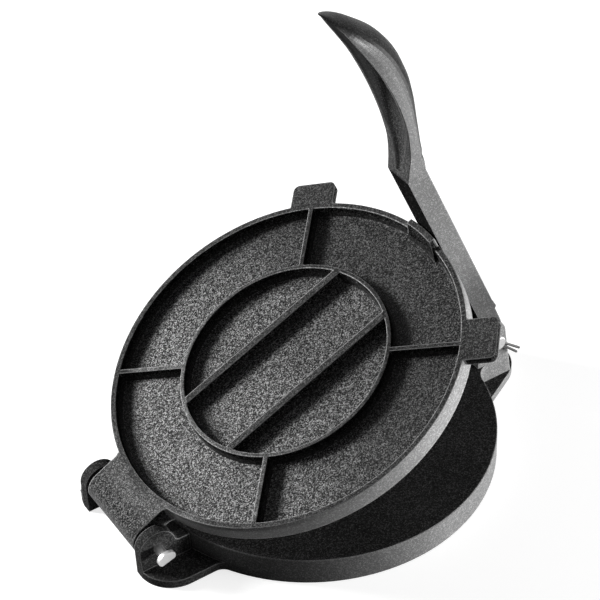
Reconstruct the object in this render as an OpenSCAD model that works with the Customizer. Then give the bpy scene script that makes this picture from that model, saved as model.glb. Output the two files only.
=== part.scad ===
// Cast-iron tortilla press: round base, ribbed hinged lid, folding lever, steel pins.
// Origin: middle of the base's outline on its foot plane. +X runs from the hinge to the lever, +Z up. Millimetres.
// The modules are drawn about the middle of the disc; placed() moves each node to the origin.

/* [Base] */
// Diameter of the two round plates, base and lid
plate_d = 200; // [160:1:300]
// Height from the foot to the pressing face
base_h = 16.4; // [13:0.1:26]
// Thickness of the pressing plate over the hollow underside
base_plate = 5.5; // [4:0.5:9]
// Thickness of the skirt wall round the hollow underside
skirt_w = 4.5; // [3:0.5:8]
// Width of the ring and spokes under the base
under_rib_w = 3; // [2:0.5:6]
// How far the ring and spokes stop short of the foot plane
under_rib_rise = 2; // [1:0.5:5]
// Thickness of the low flanges that carry the hinge and the lever bracket
flange_t = 4.9; // [3:0.1:8]
// Fillet radius where a flange runs into the disc
flange_fillet = 7; // [2:0.5:12]
// Broken edge of the castings
edge = 0.4; // [0.2:0.1:1.2]

/* [Lid] */
// Height of the lid at its rim
lid_h = 11; // [8:0.1:18]
// Thickness of the lid's pressing plate
lid_floor = 4; // [3:0.5:7]
// Width of the rim at its top
rim_w = 3.3; // [2:0.1:8]
// How far the walls of the rim, ring and ribs lean per side, floor to top
wall_draft = 1; // [0.2:0.1:2]
// Middle diameter of the inner ring
ring_d = 116; // [60:1:150]
// Width of the inner ring at its top
ring_w = 2.2; // [1.5:0.1:6]
// Distance between the middles of the two long ribs
rib_pitch = 43.6; // [20:0.1:70]
// Width of the long ribs at their top
rib_w = 4; // [2:0.5:8]
// Width of the short spokes at their top
spoke_w = 2.4; // [1.5:0.1:6]
// Width of each side tab
tab_w = 24.6; // [14:0.1:40]
// How far the tab on the +Y side stands out from the rim
tab_reach = 13.7; // [8:0.1:26]
// How far the tab on the -Y side stands out from the rim
near_tab_reach = 16; // [8:0.1:26]
// Thickness of the tabs
tab_t = 4.5; // [3:0.5:7]
// Corner radius of the tabs
tab_r = 3.5; // [1:0.5:6]
// Angle of the tab on the +Y side from the lever direction
tab_angle = 45.2; // [30:0.1:70]
// Angle of the tab on the -Y side from the lever direction
near_tab_angle = 43.9; // [30:0.1:70]
// Thickness of the gusset under each tab
gusset_t = 4; // [2:0.5:8]
// Length of the raised pad that the lever presses on
pad_l = 22; // [12:1:40]
// Height of the pad above the rim
pad_h = 6; // [3:0.5:9]
// How far the pad thickens the rim inwards
pad_in = 2; // [0:0.5:5]
// How far the pad's ends lean in, bottom to top
pad_lean = 1.5; // [0.5:0.1:3]
// How far the lid's middle sits towards the hinge
lid_shift = 1.5; // [0:0.1:2]
// Gap between the pressing faces when the lid is shut
face_gap = 0.3; // [0.3:0.1:2]
// Angle at which the lid stands open
open_deg = 23.6; // [0:0.1:80]

/* [Hinge] */
// Distance from the plates' edge to the hinge pin
hinge_out = 14.2; // [13:0.1:20]
// Height of the hinge pin above the lid's shut underside
hinge_rise = 0.1; // [0:0.1:3]
// Radius of the lug's rolled end round the pin
barrel_r = 9.9; // [7:0.1:12]
// Width of the lid's hinge lug
lug_w = 48; // [30:1:70]
// Fillet radius where the lug runs into the lid's rim
lug_fillet = 6; // [2:0.5:12]
// Thickness of each hinge ear
ear_t = 6; // [4:0.5:10]
// Gap at each side of the lug
lug_gap = 2; // [0.5:0.1:4]
// Radius of the hinge ears round the pin
ear_r = 10.3; // [7:0.1:12]
// Fillet radius where an ear meets its web
ear_fillet = 3; // [1:0.5:6]
// Width of the hinge flange
flange_w = 97.4; // [80:0.1:140]
// Corner radius of the hinge flange
flange_r = 19; // [4:1:24]
// Width of flange left between its notch and the disc
notch_land = 2.5; // [1:0.5:6]
// Diameter of the hinge pin
hinge_pin_d = 5; // [4:0.5:9]
// Width of the hinge pin's flattened head
hinge_head_w = 10.2; // [8:0.2:14]
// Angle at which the hinge pin's head stands
hinge_head_turn = 17; // [-90:1:90]
// Thickness of the hinge pin's head
hinge_head_t = 2; // [1:0.2:4]
// Distance from the ear's outer face to the hinge pin's head
hinge_head_gap = 7.6; // [0.3:0.1:8]

/* [Lever] */
// Distance from the plates' edge to the lever pin
pivot_out = 9.6; // [8:0.1:16]
// Height of the lever pin above the pressing face
pivot_rise = 18.1; // [16:0.1:26]
// Width of the lever's straight arm
lever_w = 18; // [12:0.5:26]
// Thickness of the lever's straight arm
lever_t = 12.1; // [8:0.1:18]
// Distance from the pin back to the arm's front face
lever_set = -0.3; // [-2:0.1:4]
// Radius of the lever's eye
eye_r = 11; // [8:0.1:14]
// Height of the heel's lower edge above the pin
heel_rise = 10; // [8:0.1:14]
// Length of the heel
heel_l = 2.6; // [1:0.1:5]
// How far the heel stands out behind the arm
heel_out = 0.6; // [0:0.1:2]
// Length of the straight arm from the pin
arm_l = 134; // [90:0.5:200]
// Length of the spoon-shaped grip
grip_l = 120; // [80:0.5:160]
// Greatest width of the grip
grip_w = 29.4; // [20:0.1:40]
// Greatest depth of the grip
grip_t = 15.6; // [9:0.1:18]
// How far the grip's rim bows back from the arm's front face
grip_bow = 12.5; // [4:0.1:24]
// Wall left round the grip's trough
grip_wall = 2.4; // [1.5:0.1:5]
// Gap between the raised lever and the edge of the open lid
lean_gap = 0.4; // [0.3:0.1:1]

/* [Bracket] */
// Thickness of each bracket ear at the pin
bracket_t = 5.3; // [4:0.1:10]
// How far an ear's outer face leans out, pin to foot
bracket_lean = 1.7; // [0:0.1:4]
// Gap at each side of the lever in its bracket
lever_gap = 0.5; // [0.2:0.1:2]
// Radius of the bracket ears round the pin
bracket_r = 9.6; // [7:0.1:10]
// Length of the bracket's foot past the pin
bracket_foot = 12.6; // [10:0.1:18]
// Fillet radius between the bracket and the disc
bracket_fillet = 11; // [4:1:24]
// Radius of the low flange's rounded end, about the lever pin
lobe_r = 20.9; // [18:0.1:30]
// Width of that flange at its root, inside the disc
lobe_w = 74; // [60:1:90]
// Diameter of the lever pin
lever_pin_d = 8; // [5:0.5:10]
// Diameter of the lever pin's head
lever_head_d = 13; // [11:0.5:18]
// Thickness of the lever pin's head
lever_head_t = 3; // [1.5:0.5:5]

/* [Fits] */
// Radial clearance of each pin in its bores
pin_fit = 0.2; // [0.05:0.05:0.4]
// Clearance between faces that nearly touch
seat_fit = 0.3; // [0.1:0.1:0.5]
// Diameter of the split pins' wire
split_wire = 1.5; // [1:0.1:2.4]
// Length of the hinge split pin's legs past the pin
hinge_split_leg = 10.5; // [6:0.5:16]
// Length of the lever split pin's legs past the pin
lever_split_leg = 16.5; // [8:0.5:20]
// Angle of the lever's split pin from upright
lever_split_tilt = 48; // [0:1:90]
// Distance from the bracket ear to the middle of the lever's split pin
lever_split_gap = 4.8; // [2.8:0.1:8]
// How far a pin's end runs past its split pin's middle
pin_tail = 2.9; // [1.5:0.1:5]

/* [Hidden] */
$fn = 48;
big_fn = 144;
eps = 0.01;
plate_r = plate_d / 2;
lid_z = base_h + face_gap;
hinge_x = plate_r + hinge_out;
hinge_z = lid_z + hinge_rise;
pad_out = plate_r - edge * 0.75;
notch_half = lug_w / 2 + lug_gap;
hinge_half = notch_half + ear_t;
pivot_x = plate_r + pivot_out;
pivot_z = base_h + pivot_rise;
lever_half = lever_w / 2;
slot_half = lever_half + lever_gap;
bracket_half = slot_half + bracket_t;
lever_back = lever_set + lever_t;
wall_h = lid_h - lid_floor;
hollow_h = base_h - base_plate;
split_d = split_wire * 2;
hinge_split_y = hinge_half + seat_fit + split_d / 2;
lever_split_y = bracket_half + lever_split_gap;
mid_x = (pivot_x + lobe_r - hinge_x - ear_r) / 2;
heel_reach = norm([lever_back + heel_out, heel_rise + heel_l]);

// A point of the lid, drawn shut as (distance from the lid's middle, height), turned open: (x, z)
function opened(p) = let (x = p[0] - lid_shift + hinge_x, z = p[1] - hinge_rise)
    [x * cos(open_deg) - z * sin(open_deg) - hinge_x, x * sin(open_deg) + z * cos(open_deg) + hinge_z];

// How far the lever leans when its front face rests on that point
function lean_on(p) = let (v = opened(p) - [pivot_x, pivot_z])
    atan2(v[1], v[0]) - acos((lever_set - lean_gap) / norm(v));

// The lever rests on whichever edge of the lid it meets first
lean_deg = min(lean_on([plate_r, edge]), lean_on([plate_r - edge / 2, lid_h - edge]), lean_on([pad_out, lid_h + pad_h]));

// ---- shared helpers ----

// A cylinder along Y from y0 to y1
module bar_y(r, y0, y1, fn = 48) {
    translate([0, y1, 0]) rotate([90, 0, 0]) cylinder(r = r, h = y1 - y0, $fn = fn);
}

// A plate across Y: the child outline is drawn as (x, z)
module plate_y(y0, y1) {
    translate([0, y1, 0]) rotate([90, 0, 0]) linear_extrude(y1 - y0) children();
}

// Rounds the inner corners of a plan outline
module fillet_in(r) {
    offset(r = -r, $fn = 64) offset(delta = r) children();
}

// A straight wall along X with leaning sides, w wide at its top
module wall_x(l, w, h, draft) {
    rotate([90, 0, 90]) linear_extrude(l)
        polygon([[-w / 2 - draft, 0], [w / 2 + draft, 0], [w / 2, h], [-w / 2, h]]);
}

// ---- base ----

module hinge_flange_plan() {
    x0 = -hinge_x - ear_r;
    hull() {
        for (s = [-1, 1]) translate([x0 + flange_r, s * (flange_w / 2 - flange_r)]) circle(r = flange_r, $fn = 64);
        translate([-plate_r * 0.7, -flange_w / 2]) square([1, flange_w]);
    }
}

module lobe_plan() {
    hull() {
        translate([pivot_x, 0]) circle(r = lobe_r, $fn = 96);
        translate([plate_r * 0.85 - 1, -lobe_w / 2]) square([1, lobe_w]);
    }
}

// Plan of the disc, a shade inside its wall so that what joins it runs into the wall
module disc_plan() {
    circle(r = plate_r - edge / 2, $fn = big_fn);
}

// Plan of the space inside the skirt, which every outside form keeps clear of
module inside_plan() {
    circle(r = plate_r - skirt_w / 2, $fn = big_fn);
}

// Plan of the bracket block, just inside the ears' leaning faces at its top
module bracket_plan() {
    half = bracket_half + bracket_lean * (1 - base_h / pivot_z) - seat_fit / 2;
    translate([0, -half]) square([pivot_x + bracket_foot - bracket_lean, half * 2]);
}

module hinge_ear_side() {
    offset(r = -ear_fillet) offset(delta = ear_fillet) {
        translate([-hinge_x, hinge_z]) circle(r = ear_r, $fn = 64);
        translate([-hinge_x - ear_r, eps]) square([ear_r * 2, hinge_z - eps]);
        // web that runs level with the pressing face into the disc
        polygon([[-hinge_x, eps], [-hinge_x, base_h], [skirt_w - plate_r, base_h - edge], [skirt_w - plate_r, eps]]);
    }
}

module bracket_ear_side() {
    hull() {
        translate([pivot_x, pivot_z]) circle(r = bracket_r, $fn = 64);
        translate([pivot_x - bracket_r, flange_t - 1]) square([bracket_r + bracket_foot, 1]);
    }
}

// Both bracket ears as one block with leaning outer faces; the slot parts them later
module bracket_ears() {
    h = pivot_z + bracket_r + 1;
    lean = bracket_lean * h / pivot_z;
    intersection() {
        plate_y(-bracket_half - lean, bracket_half + lean) bracket_ear_side();
        translate([pivot_x - bracket_r - 1, 0, 0])
            wall_x(bracket_r + bracket_foot + 2, 2 * (bracket_half + bracket_lean - lean), h, lean);
    }
}

module under_hollow() {
    r = plate_r - skirt_w;
    translate([0, 0, -1]) difference() {
        rotate_extrude($fn = big_fn)
            polygon([[0, 0], [r, 0], [r, 1], [r - edge, hollow_h + 1 - edge * 2], [r - edge * 3, hollow_h + 1], [0, hollow_h + 1]]);
        // ring and spokes that stiffen the plate
        rotate_extrude($fn = 96)
            translate([ring_d / 2 - under_rib_w / 2, under_rib_rise + 1]) square([under_rib_w, hollow_h]);
        for (a = [45 : 90 : 315]) rotate(a)
            translate([ring_d / 2, -under_rib_w / 2, under_rib_rise + 1]) cube([r - ring_d / 2 + 1, under_rib_w, hollow_h]);
    }
}

module base() {
    color("#26272a") difference() {
        union() {
            // disc with broken edges
            difference() {
                rotate_extrude($fn = big_fn)
                    polygon([[0, 0], [plate_r - edge, 0], [plate_r, edge], [plate_r, base_h - edge], [plate_r - edge, base_h], [0, base_h]]);
                under_hollow();
            }
            // low flanges, with a notch under the lid's lug
            linear_extrude(flange_t) difference() {
                fillet_in(flange_fillet) { hinge_flange_plan(); disc_plan(); lobe_plan(); }
                inside_plan();
                translate([-hinge_x - ear_r - 1, -notch_half])
                    square([hinge_x + ear_r + 1 - plate_r - notch_land, 2 * notch_half]);
            }
            // bracket block that flares into the disc wall
            linear_extrude(base_h) difference() {
                fillet_in(bracket_fillet) { bracket_plan(); disc_plan(); }
                inside_plan();
            }
            bracket_ears();
            for (y0 = [-hinge_half, notch_half]) plate_y(y0, y0 + ear_t) hinge_ear_side();
        }
        // room for the lid's rolled lug
        translate([-hinge_x, 0, hinge_z]) bar_y(barrel_r + seat_fit, -notch_half, notch_half, 96);
        // slot between the bracket ears, deep enough for the lever's heel to swing
        translate([pivot_x - bracket_r - 1, -slot_half, pivot_z - heel_reach - seat_fit])
            cube([bracket_r + bracket_foot + 2, slot_half * 2, heel_reach + bracket_r + 2]);
        // pin bores
        translate([-hinge_x, 0, hinge_z]) bar_y(hinge_pin_d / 2 + pin_fit, -hinge_half - 1, hinge_half + 1);
        translate([pivot_x, 0, pivot_z]) bar_y(lever_pin_d / 2 + pin_fit, -bracket_half - 1, bracket_half + 1);
    }
}

// ---- lid ----
// Drawn shut, with its middle on the Z axis and its underside at z = 0.

module lug_plan() {
    fillet_in(lug_fillet) {
        circle(r = plate_r - rim_w / 3, $fn = big_fn);
        translate([lid_shift - hinge_x, -lug_w / 2]) square([hinge_x, lug_w]);
    }
}

// The lug seen along the pin: rim height at the disc, rolled round the pin
module lug_side() {
    translate([lid_shift - hinge_x, hinge_rise]) circle(r = barrel_r, $fn = 64);
    intersection() {
        hull() {
            translate([lid_shift - hinge_x, hinge_rise]) circle(r = barrel_r, $fn = 64);
            translate([-plate_r, 0]) square([rim_w, lid_h]);
        }
        translate([-plate_r * 2, 0]) square([plate_r * 2, lid_h * 2]);
    }
}

// Side tab flush with the rim's top, on a gusset
module tab(reach) {
    translate([0, 0, lid_h - tab_t]) linear_extrude(tab_t) difference() {
        offset(r = tab_r) offset(delta = -tab_r)
            translate([plate_r - tab_r * 3, -tab_w / 2]) square([reach + tab_r * 3, tab_w]);
        circle(r = plate_r - rim_w * 0.6, $fn = big_fn);
    }
    plate_y(-gusset_t / 2, gusset_t / 2)
        polygon([[plate_r - rim_w * 0.4, edge * 3], [plate_r - rim_w * 0.4, lid_h - tab_t + 1],
                 [plate_r + reach - tab_r, lid_h - tab_t + 1], [plate_r + reach - tab_r, lid_h - tab_t]]);
}

module pad() {
    half = asin(pad_l / 2 / plate_r);
    out = pad_out;
    // thicker wall inside the rim, then the raised pad with leaning ends
    intersection() {
        rotate([0, 0, -half - 2]) rotate_extrude(angle = 2 * half + 4, $fn = big_fn)
            polygon([[out - rim_w - wall_draft - pad_in, lid_floor - 1], [out, lid_floor - 1],
                     [out, lid_h + pad_h], [out - rim_w, lid_h + pad_h], [out - rim_w - pad_in / 2, lid_h]]);
        translate([0, 0, lid_floor - 1]) rotate([90, 0, 90]) linear_extrude(plate_r * 1.1)
            polygon([[-pad_l / 2 - pad_lean, 0], [pad_l / 2 + pad_lean, 0], [pad_l / 2, wall_h + 1],
                     [pad_l / 2 - pad_lean / 2, wall_h + 1 + pad_h], [-pad_l / 2 + pad_lean / 2, wall_h + 1 + pad_h],
                     [-pad_l / 2, wall_h + 1]]);
    }
}

module lid_shape() {
    rim_in = plate_r - rim_w;
    ring_in = ring_d / 2 - ring_w / 2;
    ring_out = ring_d / 2 + ring_w / 2;
    bead = edge / 2;
    difference() {
        union() {
            // plate and rim
            rotate_extrude($fn = big_fn)
                polygon([[0, 0], [plate_r - edge, 0], [plate_r, edge], [plate_r - bead, lid_h - edge], [plate_r - edge, lid_h],
                         [rim_in + bead, lid_h], [rim_in, lid_h - bead], [rim_in - wall_draft, lid_floor + edge],
                         [rim_in - wall_draft - edge, lid_floor], [0, lid_floor]]);
            // inner ring
            rotate_extrude($fn = big_fn)
                polygon([[ring_in - wall_draft, lid_floor - 1], [ring_out + wall_draft, lid_floor - 1], [ring_out, lid_h - bead],
                         [ring_out - bead, lid_h], [ring_in + bead, lid_h], [ring_in, lid_h - bead]]);
            // two long ribs, ending in the ring
            intersection() {
                for (s = [-1, 1]) translate([-ring_d / 2, s * rib_pitch / 2, lid_floor - 1])
                    wall_x(ring_d, rib_w, wall_h + 1, wall_draft);
                cylinder(d = ring_d, h = lid_h * 2, $fn = 96);
            }
            // four short spokes, ring to rim
            for (a = [45 : 90 : 315]) rotate(a) translate([ring_d / 2, 0, lid_floor - 1])
                wall_x(rim_in - ring_d / 2 + rim_w / 2, spoke_w, wall_h + 1, wall_draft * 0.6);
            rotate(tab_angle) tab(tab_reach);
            rotate(-near_tab_angle) tab(near_tab_reach);
            pad();
            // wide lug with a rolled end round the pin
            intersection() {
                linear_extrude(lid_h) difference() {
                    lug_plan();
                    circle(r = plate_r - rim_w * 0.6, $fn = big_fn);
                }
                plate_y(-lug_w / 2 - lug_fillet * 2, lug_w / 2 + lug_fillet * 2) lug_side();
            }
            translate([lid_shift - hinge_x, 0, hinge_rise]) bar_y(barrel_r, -lug_w / 2, lug_w / 2, 64);
        }
        translate([lid_shift - hinge_x, 0, hinge_rise]) bar_y(hinge_pin_d / 2 + pin_fit, -lug_w, lug_w);
    }
}

module lid() {
    color("#2b2c2f")
        translate([-hinge_x, 0, hinge_z]) rotate([0, -open_deg, 0]) translate([hinge_x, 0, -hinge_z])
            translate([-lid_shift, 0, lid_z]) lid_shape();
}

// ---- lever ----
// Drawn upright: the pin on the origin, the arm along +Z, its front (lid side) towards -X.

// Share of the grip's length, and there: how far the rim bows, half width, depth, squareness
function grip_stations() = [
    [0.000, 0.000, lever_half, lever_t, 80],
    [0.066, 0.320, lever_half + 0.017 * grip_w, 0.641 * grip_t, 14],
    [0.116, 0.536, 0.349 * grip_w, 0.557 * grip_t, 8],
    [0.170, 0.696, 0.368 * grip_w, 0.532 * grip_t, 5.5],
    [0.274, 0.888, 0.432 * grip_w, 0.586 * grip_t, 3.6],
    [0.388, 0.984, 0.477 * grip_w, 0.778 * grip_t, 2.8],
    [0.480, 1.000, 0.498 * grip_w, 0.913 * grip_t, 2.6],
    [0.549, 0.978, 0.500 * grip_w, 0.971 * grip_t, 2.5],
    [0.650, 0.908, 0.500 * grip_w, 1.000 * grip_t, 2.4],
    [0.757, 0.744, 0.500 * grip_w, 0.915 * grip_t, 2.3],
    [0.840, 0.592, 0.476 * grip_w, 0.690 * grip_t, 2.2],
    [0.900, 0.488, 0.415 * grip_w, 0.465 * grip_t, 2.2],
    [0.950, 0.360, 0.265 * grip_w, 0.215 * grip_t, 2.2],
    [1.000, 0.160, 0.012 * grip_w, 0.035 * grip_t, 2]];

// Smooth curve through four values
function curve(a, b, c, d, t) = 0.5 * (2 * b + (c - a) * t + (2 * a - 5 * b + 4 * c - d) * t * t + (3 * b - a - 3 * c + d) * t * t * t);

function smooth(rows, per) = [for (i = [0 : len(rows) - 2]) let (
        a = i > 0 ? rows[i - 1] : rows[0] * 2 - rows[1], b = rows[i], c = rows[i + 1],
        d = i < len(rows) - 2 ? rows[i + 2] : rows[i + 1] * 2 - rows[i])
    for (k = [0 : per - 1 + (i == len(rows) - 2 ? 1 : 0)]) let (t = k / per)
        [for (j = [0 : len(b) - 1]) curve(a[j], b[j], c[j], d[j], t)]];

function power(v, p) = sign(v) * pow(abs(v), p);

// One cross-section: flat rim towards -X, rounded back towards +X
function section(row, n) = let (
        z = arm_l + row[0] * grip_l, x = lever_set + row[1] * grip_bow, p = 2 / row[4])
    [for (k = [0 : n]) let (a = -90 + 180 * k / n) [x + row[3] * power(cos(a), p), row[2] * power(sin(a), p), z]];

// Skin over a row of equal closed sections
module skin(secs) {
    m = len(secs[0]);
    n = len(secs);
    polyhedron(
        points = [for (s = secs) each s],
        faces = concat(
            [[for (k = [0 : m - 1]) k]],
            [for (i = [0 : n - 2]) for (k = [0 : m - 1]) let (k2 = (k + 1) % m)
                each [[i * m + k, (i + 1) * m + k, (i + 1) * m + k2], [i * m + k, (i + 1) * m + k2, i * m + k2]]],
            [[for (k = [m - 1 : -1 : 0]) (n - 1) * m + k]]),
        convexity = 6);
}

module grip() {
    rows = smooth(grip_stations(), 3);
    last = len(rows) - 1;
    n = 20;
    // the grip grows out of a root that lies inside the arm
    root = [-grip_wall / grip_l, 0, lever_half - seat_fit, lever_t - seat_fit, 80];
    // the trough opens from a point at the knee and fades out towards the tip
    trough = [for (i = [1 : last - 1]) let (r = rows[i], open = min(1, (r[0] + 0.02) / 0.26), shut = min(1, (last - i) / 4),
            wide = (r[2] - grip_wall) * (0.12 + 0.88 * open) * (0.6 + 0.4 * shut),
            deep = max(seat_fit, (r[3] - grip_wall * 1.4) * 0.72 * pow(open, 0.8) * shut), s = section([r[0], r[1], wide, deep, 2.2], n))
        concat(s, [[s[n][0] - grip_wall, s[n][1], s[n][2]], [s[0][0] - grip_wall, s[0][1], s[0][2]]])];
    difference() {
        skin([for (r = concat([root], rows)) section(r, n)]);
        skin(trough);
    }
}

module arm_side() {
    polygon([[lever_set, 0], [lever_set, arm_l], [lever_back, arm_l], [lever_back, heel_rise + heel_l * 3],
             [lever_back + heel_out, heel_rise + heel_l], [lever_back + heel_out, heel_rise + heel_l / 2],
             [lever_back - heel_out, heel_rise], [eye_r, 0]]);
    circle(r = eye_r, $fn = 72);
}

module lever() {
    color("#303134")
        translate([pivot_x, 0, pivot_z]) rotate([0, -lean_deg, 0]) {
            difference() {
                plate_y(-lever_half, lever_half) arm_side();
                bar_y(lever_pin_d / 2 + pin_fit, -lever_w, lever_w);
            }
            grip();
        }
}

// ---- pins ----

module hinge_pin() {
    y0 = -hinge_half - hinge_head_gap;
    color("#b9bbbd") translate([-hinge_x, 0, hinge_z]) difference() {
        union() {
            bar_y(hinge_pin_d / 2, y0, hinge_split_y + pin_tail - edge);
            translate([0, hinge_split_y + pin_tail, 0]) rotate([90, 0, 0])
                cylinder(r1 = hinge_pin_d / 2 - edge, r2 = hinge_pin_d / 2, h = edge + eps);
            // flattened head, turned a little
            plate_y(y0 - hinge_head_t, y0 + eps) rotate(hinge_head_turn) intersection() {
                scale([1, 0.75]) circle(d = hinge_head_w, $fn = 48);
                translate([-hinge_head_w, -hinge_pin_d / 2]) square([hinge_head_w * 2, hinge_head_w]);
            }
        }
        translate([0, hinge_split_y, 0]) split_hole(hinge_pin_d, -45);
    }
}

module lever_pin() {
    y0 = bracket_half + seat_fit;
    y1 = -lever_split_y - pin_tail + edge;
    color("#b9bbbd") translate([pivot_x, 0, pivot_z]) difference() {
        union() {
            bar_y(lever_pin_d / 2, y1, y0 + eps);
            translate([0, y1, 0]) rotate([90, 0, 0])
                cylinder(r1 = lever_pin_d / 2, r2 = lever_pin_d / 2 - edge, h = edge);
            bar_y(lever_head_d / 2, y0, y0 + lever_head_t);
        }
        translate([0, -lever_split_y, 0]) split_hole(lever_pin_d, lever_split_tilt);
    }
}

// Cross hole through a pin for its split pin
module split_hole(pin_d, tilt) {
    rotate([0, -tilt, 0]) cylinder(d = split_d + 2 * pin_fit, h = pin_d * 2, center = true, $fn = 24);
}

// Split pin: an eye at one end, two legs bent apart at the other. Drawn along -Z, through the origin.
module split_pin(pin_d, leg) {
    leg0 = pin_d / 2 + 1;
    eye = split_wire * 1.35;
    spread = split_wire * 0.9;
    // shank: two half-round legs lying together
    translate([0, 0, -leg0]) cylinder(d = split_d, h = 2 * leg0 + 0.4, $fn = 24);
    // eye
    translate([0, 0, leg0 + eye + split_wire * 0.6]) rotate([90, 0, 0]) rotate_extrude($fn = 28) translate([eye, 0]) circle(d = split_wire, $fn = 12);
    // legs, spread a little
    for (s = [-1, 1]) hull() {
        translate([s * split_wire * 0.45, 0, -leg0 + 0.6]) sphere(d = split_wire, $fn = 14);
        translate([s * spread, 0, -pin_d / 2 - leg + split_wire / 2]) sphere(d = split_wire, $fn = 14);
    }
}

module hinge_split_pin() {
    color("#a7a9ab") translate([-hinge_x, hinge_split_y, hinge_z]) rotate([0, 45, 0]) split_pin(hinge_pin_d, hinge_split_leg);
}

module lever_split_pin() {
    color("#a7a9ab") translate([pivot_x, -lever_split_y, pivot_z]) rotate([0, -lever_split_tilt, 0]) split_pin(lever_pin_d, lever_split_leg);
}

// Every node, moved from the middle of the disc to the middle of the base's outline
module placed() {
    translate([-mid_x, 0, 0]) children();
}

placed() base();
placed() lid();
placed() lever();
placed() hinge_pin();
placed() hinge_split_pin();
placed() lever_pin();
placed() lever_split_pin();
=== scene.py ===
"""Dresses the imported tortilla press: cast-iron and steel looks, studio light and the camera."""
import math

import bpy
from mathutils import Matrix, Vector

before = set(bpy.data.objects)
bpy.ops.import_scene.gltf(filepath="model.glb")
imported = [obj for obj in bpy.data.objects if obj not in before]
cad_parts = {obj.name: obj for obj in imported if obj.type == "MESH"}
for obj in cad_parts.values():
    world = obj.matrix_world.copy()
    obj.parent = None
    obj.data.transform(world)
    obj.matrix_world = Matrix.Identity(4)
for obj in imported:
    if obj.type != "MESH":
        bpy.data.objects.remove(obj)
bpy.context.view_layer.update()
scene = bpy.context.scene

# ---------------------------------------------------------------- camera
RIGHT = Vector((0.83930573, -0.54247202, -0.03591655))
DOWN = Vector((-0.37096645, -0.52315474, -0.76726333))
FORWARD = Vector((0.39742897, 0.65729234, -0.64032569))
CAM_POS = Vector((-0.42172599, -0.68636249, 0.77423794))
SENSOR = 36.0
FOCAL_PX = 2040.2224
FRAME_PX = 600.0

cam_data = bpy.data.cameras.new("camera")
cam_data.sensor_width = SENSOR
cam_data.sensor_fit = "HORIZONTAL"
cam_data.lens = FOCAL_PX / FRAME_PX * SENSOR
cam_data.clip_start = 0.05
cam_data.clip_end = 50.0
cam = bpy.data.objects.new("camera", cam_data)
scene.collection.objects.link(cam)
cam.matrix_world = Matrix((
    (RIGHT.x, -DOWN.x, -FORWARD.x, CAM_POS.x),
    (RIGHT.y, -DOWN.y, -FORWARD.y, CAM_POS.y),
    (RIGHT.z, -DOWN.z, -FORWARD.z, CAM_POS.z),
    (0.0, 0.0, 0.0, 1.0)))
scene.camera = cam

# ---------------------------------------------------------------- places on the press, in metres
HINGE = (-0.1172, 0.0, 0.0168)
PIVOT = (0.1066, 0.0, 0.0345)
# how far the lid and the lever stand turned in the frame
LID_OPEN = math.radians(23.6)
LEVER_LEAN = math.radians(22.68)

# From here on, places on a casting are measured from its pin, with the lid shut and the arm
# upright. A pair is where a change starts and ends.
LID_MIDDLE = 0.1127
LID_OUTER_WALL = (0.0985, 0.1012)
RIM_TOP = (0.0962, 0.1004)
RIM_FRONT = (0.020, 0.030)
UNDER_RIM = (0.0885, 0.1000)
RING_OUTSIDE = (0.0560, 0.0566)
RING_INSIDE = (0.0550, 0.0556)
UNDER_RING = (0.046, 0.054)
STRIP_TOP = (0.0190, 0.0246)
STRIP_WALL = (0.0180, 0.0255)
TAB_START = (0.1000, 0.1004)
TAB_SIDE = (0.10, 0.11)
LUG_END = (-0.008, 0.020)
TOPS = (0.0095, 0.0103)
CHAMFERS = (0.0098, 0.0103)

BASE_MIDDLE = 0.1142
BASE_OUTER_WALL = (0.0985, 0.1008)
BASE_WALL_START = (0.010, 0.020)
BRACKET_START = (0.208, 0.214)

ARM_END = (0.133, 0.135)
GRIP_FADE = (0.180, 0.230)

LID_EDGES = (0.0075, 0.0095)
LID_RIM_EDGES = (0.0980, 0.0990)
NEAR_SIDE = (-0.055, -0.025)
# how far a place lies towards the far side of the plate, where rim and ring keep the light off;
# the shade there and the fading floor light are painted
FAR_SLANT = 0.25
LEE_X = 0.45
LEE_Y = 0.9
UNDER_RIM_FADE = (0.0, 0.05)
UNDER_RING_FADE = (0.0, 0.03)
LEVER_SIDE = (0.5, 0.9)
LEVER_BACK = (0.15, 0.60)

SHARP = 0.0002
STRIP_SOFT = 0.0003
RIM_SOFT = 0.0050
STEEP = (0.45, 0.75)
TILTED = (0.6, 0.82)
TILT_SOFT = 0.05

# ---------------------------------------------------------------- tones, as linear greys
# A gradient is two places and the tones, or the gloss, at them.
# painted light on the pocket floors, fading away from the hinge
OUTER_FLOOR_PAINTED_LIGHT = (0.045, 0.150, 0.123, 0.040)
INNER_FLOOR_PAINTED_LIGHT = (0.05, 0.18, 0.120, 0.072)
# painted shade under the rim and the ring
UNDER_RIM_PAINTED_SHADE = 0.035
UNDER_RING_PAINTED_SHADE = 0.05
STRIP_TONE = 0.055
RIM_TONE = 0.050
TAB_TONE = 0.056
# painted shade on the strip walls
STRIP_WALL_PAINTED_SHADE = 0.014
POCKET_WALL_TONE = 0.045
LUG_TONE = 0.040
# ground outer wall, with painted light on its near side growing towards the lever end, and
# painted shade on its far side
LID_GROUND_AND_PAINTED_LIGHT = (0.06, 0.16, 0.065, 0.21)
FAR_GROUND_PAINTED_SHADE = 0.09
# painted highlight on the chamfers
CHAMFER_PAINTED_HIGHLIGHT = 0.22
LID_GLOSS = (0.0060, 0.0085, 0.10, 0.0)
TOP_SMOOTH = 0.55
LUG_SMOOTH = 0.6

BASE_TOP_TONE = 0.033
BASE_WALL_TONE = 0.028
# ground walls, with painted light growing towards the lever end
BASE_GROUND_AND_PAINTED_LIGHT = (0.055, 0.135, 0.046, 0.155)
# strength of the painted edge highlight on the base
BASE_EDGE_HIGHLIGHT = 0.6
BASE_GRAIN = 0.5

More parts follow.
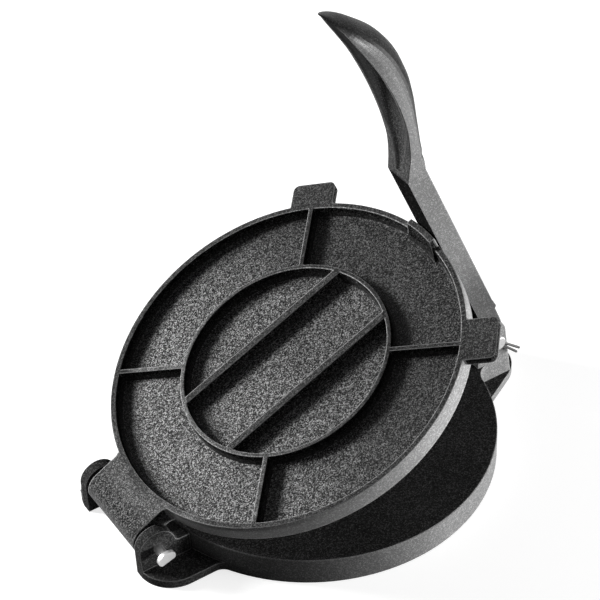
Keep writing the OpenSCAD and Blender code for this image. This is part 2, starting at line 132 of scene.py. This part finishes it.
# lever sides: ground bright, with painted shade low on the arm and on top of the grip; painted
# shade on the back and the front, and a painted highlight low in the trough
ARM_GROUND_AND_PAINTED_SHADE = (0.020, 0.065, 0.075, 0.137)
GRIP_TOP_PAINTED_SHADE = 0.03
LEVER_BACK_PAINTED_SHADE = 0.012
TROUGH_PAINTED_HIGHLIGHT = (0.140, 0.190, 0.034, 0.010)
ARM_FRONT_PAINTED_SHADE = 0.006
BACK_GLOSS = (0.13, 0.17, 0.0, 0.25)
TROUGH_GLOSS = 0.06
SIDE_GLOSS = 0.02
LEVER_GRAIN = (0.6, 0.2)


# ---------------------------------------------------------------- node helpers
class Graph:
    """A small helper that adds nodes to a material and links them."""

    def __init__(self, name):
        self.mat = bpy.data.materials.new(name)
        self.mat.use_nodes = True
        self.tree = self.mat.node_tree
        self.tree.nodes.clear()
        self.out = self.tree.nodes.new("ShaderNodeOutputMaterial")

    def node(self, kind, **settings):
        made = self.tree.nodes.new("ShaderNode" + kind)
        for key, value in settings.items():
            setattr(made, key, value)
        return made

    def link(self, source, target):
        self.tree.links.new(source, target)

    def feed(self, value, target):
        """Sets a socket to a plain number, or links a source to it."""
        if isinstance(value, (int, float)):
            target.default_value = value
        else:
            self.link(value, target)

    def noise(self, coords, scale, detail, rough):
        n = self.node("TexNoise")
        n.inputs["Scale"].default_value = scale
        n.inputs["Detail"].default_value = detail
        n.inputs["Roughness"].default_value = rough
        self.link(coords, n.inputs["Vector"])
        return n.outputs["Fac"]

    def span(self, source, low, high, to_low=0.0, to_high=1.0):
        """Maps low..high onto to_low..to_high and holds the ends."""
        m = self.node("MapRange")
        for i, v in enumerate((low, high, to_low, to_high)):
            m.inputs[i + 1].default_value = v
        self.link(source, m.inputs[0])
        return m.outputs[0]

    def band(self, value, low, high, soft=SHARP):
        """1 between low and high, fading out over soft."""
        up = self.span(value, low - soft, low + soft)
        down = self.span(value, high - soft, high + soft, 1.0, 0.0)
        return self.both(up, down)

    def math(self, op, *values):
        m = self.node("Math", operation=op)
        for i, v in enumerate(values):
            self.feed(v, m.inputs[i])
        return m.outputs[0]

    def both(self, first, second):
        return self.math("MULTIPLY", first, second)

    def either(self, first, second):
        return self.math("MAXIMUM", first, second)

    def choose(self, mask, low, high):
        """low where the mask is 0, high where it is 1."""
        m = self.node("Mix")
        for slot, value in zip((0, 2, 3), (mask, low, high)):
            self.feed(value, m.inputs[slot])
        return m.outputs[0]

    def vmath(self, op, *values):
        m = self.node("VectorMath", operation=op)
        for i, v in enumerate(values):
            if isinstance(v, tuple):
                m.inputs[i].default_value = v
            else:
                self.link(v, m.inputs[i])
        return m.outputs["Value" if op in ("DOT_PRODUCT", "LENGTH") else "Vector"]

    def grey(self, value):
        c = self.node("CombineColor")
        for i in range(3):
            self.link(value, c.inputs[i])
        return c.outputs[0]

    def turned(self, vector, angle):
        """The vector turned about Y, which is the way both pins lie."""
        r = self.node("VectorRotate", rotation_type="Y_AXIS")
        r.inputs["Angle"].default_value = angle
        self.link(vector, r.inputs["Vector"])
        return r.outputs["Vector"]

    def split(self, vector):
        s = self.node("SeparateXYZ")
        self.link(vector, s.inputs[0])
        return s.outputs

    def disc_radius(self, x, y, middle):
        """Distance from the middle of a round plate, in its own plane."""
        reach = self.node("CombineXYZ")
        self.link(self.math("SUBTRACT", x, middle), reach.inputs[0])
        self.link(y, reach.inputs[1])
        return self.vmath("LENGTH", reach.outputs[0])

    def steepness(self, facing):
        """1 on walls, 0 on faces that lie level in the casting's own frame."""
        return self.span(self.math("ABSOLUTE", facing[2]), *STEEP, 1.0, 0.0)


# ---------------------------------------------------------------- cast iron
GRAIN_SCALE = 1950.0
MOTTLE_SCALE = 1150.0
BLOTCH_SCALE = 22.0
GLINTS = (0.985, 1.0, 0.0, 0.12)
SMOOTH_GRAIN = 0.22
EDGE_RADIUS = 0.0010
EDGE_DOT = (0.985, 0.86)
# painted highlight along the edges
EDGE_HIGHLIGHT_TONE = 0.24
MOTTLE_TONES = (0.7, 1.3)
BLOTCH_TONES = (0.85, 1.15)
BUMP_FLOOR = 0.08
BUMP_GRAIN = 0.4
BUMP_DEPTH = 0.0005
MIDDLE_HALF = (0.3, 0.7)


def cast_iron(name, pin, turn, regions, rough=0.5):
    """Black sandy casting: grain, broad blotches, smoother ground walls and a painted highlight
    along the edges.

    regions gives the tone, grain, gloss and edge highlight of each place on the casting.
    """
    g = Graph(name)
    coords = g.node("TexCoord").outputs["Object"]
    place = g.split(g.turned(g.vmath("SUBTRACT", coords, pin), turn))
    facing = g.split(g.turned(g.node("TexCoord").outputs["Normal"], turn))
    tone, grain, gloss, edge_highlight = regions(g, place, facing)

    # grain: small cells, each of its own brightness, over a coarser mottle
    cells = g.node("TexVoronoi")
    cells.inputs["Scale"].default_value = GRAIN_SCALE
    g.link(coords, cells.inputs["Vector"])
    cell = g.node("SeparateColor")
    g.link(cells.outputs["Color"], cell.inputs[0])
    bright, rare = cell.outputs[0], cell.outputs[1]
    mottle = g.noise(coords, MOTTLE_SCALE, 2.0, 0.6)
    sand = g.both(g.math("POWER", bright, 3.0), 4.0)
    sand = g.both(sand, g.span(mottle, *MIDDLE_HALF, *MOTTLE_TONES))
    sand = g.math("ADD", 1.0, g.both(g.math("SUBTRACT", sand, 1.0), grain))
    blotch = g.span(g.noise(coords, BLOTCH_SCALE, 3.0, 0.55), *MIDDLE_HALF, *BLOTCH_TONES)
    shade = g.both(tone, g.both(sand, blotch))
    glints = g.span(rare, *GLINTS)
    shade = g.math("ADD", shade, g.both(glints, grain))

    # painted highlight along the edges
    soft = g.node("Bevel", samples=6)
    soft.inputs["Radius"].default_value = EDGE_RADIUS
    plain = g.node("NewGeometry").outputs["Normal"]
    painted_edge_highlight = g.span(g.vmath("DOT_PRODUCT", soft.outputs[0], plain), *EDGE_DOT)
    shade = g.math("ADD", shade, g.both(painted_edge_highlight, g.both(edge_highlight, EDGE_HIGHLIGHT_TONE)))

    bumped = g.node("Bump")
    bumped.inputs["Distance"].default_value = BUMP_DEPTH
    g.link(g.math("ADD", BUMP_FLOOR, g.both(grain, BUMP_GRAIN)), bumped.inputs["Strength"])
    g.link(g.math("ADD", g.both(bright, 0.5), mottle), bumped.inputs["Height"])
    g.link(soft.outputs[0], bumped.inputs["Normal"])

    shader = g.node("BsdfPrincipled")
    g.link(g.grey(shade), shader.inputs["Base Color"])
    g.link(g.span(mottle, *MIDDLE_HALF, rough - 0.06, rough + 0.1), shader.inputs["Roughness"])
    g.feed(gloss, shader.inputs["Specular IOR Level"])
    g.link(bumped.outputs["Normal"], shader.inputs["Normal"])
    g.link(shader.outputs["BSDF"], g.out.inputs["Surface"])
    return g.mat


def lid_regions(g, place, facing):
    """Sandy pocket floors with painted light and shade, plainer tops, black pocket walls with
    painted shade on the strip walls, and a ground outer wall with painted light on its near side.
    """
    x, y, z = place
    radius = g.disc_radius(x, y, LID_MIDDLE)
    side = g.math("ABSOLUTE", y)
    wall = g.steepness(facing)
    top = g.both(g.span(z, *TOPS), g.math("SUBTRACT", 1.0, wall))
    in_ring = g.span(radius, *RING_INSIDE, 1.0, 0.0)

    # pocket floors: painted light near the hinge, fading to dark near the lever
    far = g.math("SUBTRACT", x, g.both(y, FAR_SLANT))
    outer_floor_painted_light = g.span(far, *OUTER_FLOOR_PAINTED_LIGHT)
    inner_floor_painted_light = g.span(far, *INNER_FLOOR_PAINTED_LIGHT)
    tone = g.choose(in_ring, outer_floor_painted_light, inner_floor_painted_light)

    # painted shade in the corners on the far side, under the rim and the ring
    beyond = g.both(g.math("SUBTRACT", x, LID_MIDDLE), LEE_X)
    lee = g.math("SUBTRACT", g.both(y, LEE_Y), beyond)
    painted_shade_under_rim = g.both(g.span(lee, *UNDER_RIM_FADE), g.band(radius, *UNDER_RIM, RIM_SOFT))
    tone = g.choose(painted_shade_under_rim, tone, UNDER_RIM_PAINTED_SHADE)
    painted_shade_under_ring = g.both(g.span(lee, *UNDER_RING_FADE),
                        g.both(in_ring, g.span(radius, *UNDER_RING)))
    tone = g.choose(painted_shade_under_ring, tone, UNDER_RING_PAINTED_SHADE)

    # tops of the strips, the rim and the tabs
    strip = g.both(g.band(side, *STRIP_TOP, STRIP_SOFT),
                   g.span(radius, *RING_OUTSIDE, 1.0, 0.0))
    tone = g.choose(g.both(top, strip), tone, STRIP_TONE)
    rim = g.both(g.band(radius, *RIM_TOP), g.span(x, *RIM_FRONT))
    tone = g.choose(g.both(top, rim), tone, RIM_TONE)
    tab = g.both(g.span(radius, *TAB_START), g.span(x, *TAB_SIDE))
    tone = g.choose(g.both(top, tab), tone, TAB_TONE)

    # walls, the lug and the chamfers
    # painted shade on the strip walls, darker than the other pocket walls
    strip_wall = g.both(g.band(side, *STRIP_WALL, STRIP_SOFT), in_ring)
    tone = g.choose(wall, tone, g.choose(strip_wall, STRIP_WALL_PAINTED_SHADE, POCKET_WALL_TONE))
    lug = g.span(x, *LUG_END, 1.0, 0.0)
    tone = g.choose(lug, tone, LUG_TONE)
    # ground outer wall, with painted light on the near side and painted shade on the far side
    outer = g.both(wall, g.band(radius, *LID_OUTER_WALL))
    ground = g.choose(g.span(y, *NEAR_SIDE), g.span(x, *LID_GROUND_AND_PAINTED_LIGHT), FAR_GROUND_PAINTED_SHADE)
    tone = g.choose(outer, tone, ground)
    # painted highlight on the chamfers
    tilted = g.band(g.math("ABSOLUTE", facing[2]), *TILTED, TILT_SOFT)
    chamfer = g.both(tilted, g.span(z, *CHAMFERS))
    tone = g.choose(chamfer, tone, CHAMFER_PAINTED_HIGHLIGHT)

    smooth = g.either(g.either(chamfer, top), g.both(lug, LUG_SMOOTH))
    smooth = g.either(outer, g.both(smooth, TOP_SMOOTH))
    grain = g.span(smooth, 0.0, 1.0, 1.0, SMOOTH_GRAIN)
    gloss = g.span(z, *LID_GLOSS)
    # where the painted edge highlight goes
    edge_highlight = g.either(g.span(z, *LID_EDGES), g.span(radius, *LID_RIM_EDGES))
    return tone, grain, gloss, edge_highlight


def base_regions(g, place, facing):
    """Black pressing face and flanges, ground outer wall and bracket, with painted light that
    grows towards the lever end.
    """
    x, y, _ = place
    radius = g.disc_radius(x, y, BASE_MIDDLE)
    wall = g.steepness(facing)
    outer = g.both(g.band(radius, *BASE_OUTER_WALL), g.span(x, *BASE_WALL_START))
    ground = g.both(wall, g.either(outer, g.span(x, *BRACKET_START)))
    tone = g.choose(wall, BASE_TOP_TONE, BASE_WALL_TONE)
    # ground walls, with painted light growing towards the lever end
    tone = g.choose(ground, tone, g.span(x, *BASE_GROUND_AND_PAINTED_LIGHT))
    grain = g.span(ground, 0.0, 1.0, BASE_GRAIN, SMOOTH_GRAIN)
    return tone, grain, 0.0, BASE_EDGE_HIGHLIGHT


def lever_regions(g, place, facing):
    """The sides are ground bright, with painted shade low on the arm and on top of the grip; the
    front and the back are painted black shade, and the trough has a painted highlight low down.
    """
    height = place[2]
    side = g.span(g.math("ABSOLUTE", facing[1]), *LEVER_SIDE)
    arm = g.span(height, *ARM_END, 1.0, 0.0)
    back = g.span(facing[0], *LEVER_BACK)
    # painted shade low on the arm, on the grip's top, on the back and on the front; a painted
    # highlight low in the trough
    arm_side = g.span(height, *ARM_GROUND_AND_PAINTED_SHADE)
    grip_side = g.choose(g.span(height, *GRIP_FADE), arm_side, GRIP_TOP_PAINTED_SHADE)
    ground = g.choose(back, grip_side, LEVER_BACK_PAINTED_SHADE)
    trough = g.span(height, *TROUGH_PAINTED_HIGHLIGHT)
    tone = g.choose(side, g.choose(arm, trough, ARM_FRONT_PAINTED_SHADE), ground)
    shine = g.span(height, *BACK_GLOSS)
    gloss = g.choose(side, g.choose(arm, TROUGH_GLOSS, 0.0), g.choose(back, shine, SIDE_GLOSS))
    grain = g.span(side, 0.0, 1.0, *LEVER_GRAIN)
    return tone, grain, gloss, side


# ---------------------------------------------------------------- steel
STREAK_SCALE = 1500.0


def steel(name, tone, rough):
    """Metal with fine streaks in its tone and polish."""
    g = Graph(name)
    streak = g.noise(g.node("TexCoord").outputs["Object"], STREAK_SCALE, 3.0, 0.6)
    shader = g.node("BsdfPrincipled")
    g.link(g.grey(g.span(streak, *MIDDLE_HALF, tone * 0.85, tone)), shader.inputs["Base Color"])
    g.link(g.span(streak, *MIDDLE_HALF, rough, rough + 0.12), shader.inputs["Roughness"])
    shader.inputs["Metallic"].default_value = 1.0
    g.link(shader.outputs["BSDF"], g.out.inputs["Surface"])
    return g.mat


PIN = (0.5, 0.34)
WIRE = (0.06, 0.3)
LOOKS = {
    "base": cast_iron("iron_base", HINGE, 0.0, base_regions),
    "lid": cast_iron("iron_lid", HINGE, LID_OPEN, lid_regions),
    "lever": cast_iron("iron_lever", PIVOT, LEVER_LEAN, lever_regions, 0.38),
    "hinge_pin": steel("pin_steel", *PIN),
    "lever_pin": steel("lever_pin_steel", *PIN),
    "hinge_split_pin": steel("wire_steel", *WIRE),
    "lever_split_pin": steel("lever_wire_steel", *WIRE),
}
for node, look in LOOKS.items():
    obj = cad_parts[node]
    if not obj.material_slots:
        obj.data.materials.append(look)
    for slot in obj.material_slots:
        slot.material = look

# ---------------------------------------------------------------- floor and backdrop
WHITE = (1.0, 1.0, 1.0, 1.0)
FLOOR_GREY = (0.55, 0.55, 0.55, 1)
FLOOR_HALF = 6.0
FLOOR_DROP = 0.0002
FLOOR_GLOW = (0.35, 0.9, 0.76, 0.96)
WORLD_LIGHT = 0.08


def seen_white(tree, plain, white):
    """Mixes a plain surface with the white one that the camera, reflections and glass see."""
    path = tree.nodes.new("ShaderNodeLightPath")
    seen = path.outputs["Is Camera Ray"]
    for ray in ("Is Glossy Ray", "Is Transmission Ray"):
        either = tree.nodes.new("ShaderNodeMath")
        either.operation = "MAXIMUM"
        tree.links.new(seen, either.inputs[0])
        tree.links.new(path.outputs[ray], either.inputs[1])
        seen = either.outputs[0]
    blend = tree.nodes.new("ShaderNodeMixShader")
    for i, source in enumerate((seen, plain, white)):
        tree.links.new(source, blend.inputs[i])
    return blend.outputs[0]


floor_mesh = bpy.data.meshes.new("floor")
corners = [(-FLOOR_HALF, -FLOOR_HALF, 0), (FLOOR_HALF, -FLOOR_HALF, 0),
           (FLOOR_HALF, FLOOR_HALF, 0), (-FLOOR_HALF, FLOOR_HALF, 0)]
floor_mesh.from_pydata(corners, [], [(0, 1, 2, 3)])
floor = bpy.data.objects.new("floor", floor_mesh)
floor.location.z = -FLOOR_DROP
scene.collection.objects.link(floor)
g = Graph("pale_floor")
matt = g.node("BsdfDiffuse")
matt.inputs["Color"].default_value = FLOOR_GREY
glow = g.node("Emission")
glow.inputs["Color"].default_value = WHITE
# dim enough near the press to show its shadow, white farther out like the backdrop
reach = g.vmath("LENGTH", g.node("TexCoord").outputs["Object"])
g.link(g.span(reach, *FLOOR_GLOW), glow.inputs["Strength"])
lit = g.node("AddShader")
g.link(matt.outputs[0], lit.inputs[0])
g.link(glow.outputs[0], lit.inputs[1])
g.link(seen_white(g.tree, matt.outputs[0], lit.outputs[0]), g.out.inputs["Surface"])
floor_mesh.materials.append(g.mat)

world = bpy.data.worlds.new("studio")
scene.world = world
world.use_nodes = True
tree = world.node_tree
tree.nodes.clear()


def background(strength):
    made = tree.nodes.new("ShaderNodeBackground")
    made.inputs["Color"].default_value = WHITE
    made.inputs["Strength"].default_value = strength
    return made.outputs[0]


out = tree.nodes.new("ShaderNodeOutputWorld")
tree.links.new(seen_white(tree, background(WORLD_LIGHT), background(1.0)), out.inputs["Surface"])


# ---------------------------------------------------------------- light
def softbox(name, place, target, size, power):
    """A rectangular lamp that faces the target."""
    light = bpy.data.lights.new(name, "AREA")
    light.shape = "RECTANGLE"
    light.size, light.size_y = size
    light.energy = power
    obj = bpy.data.objects.new(name, light)
    scene.collection.objects.link(obj)
    obj.location = place
    aim = Vector(target) - Vector(place)
    obj.rotation_euler = aim.to_track_quat("-Z", "Y").to_euler()


softbox("side", place=(1.12, -1.0, 0.16), target=(0.05, 0, 0.06), size=(0.9, 0.28), power=54)
softbox("back_left", place=(-0.70, 0.72, 0.42), target=(0, 0, 0.05), size=(0.35, 0.35), power=24)

scene.view_settings.view_transform = "Standard"
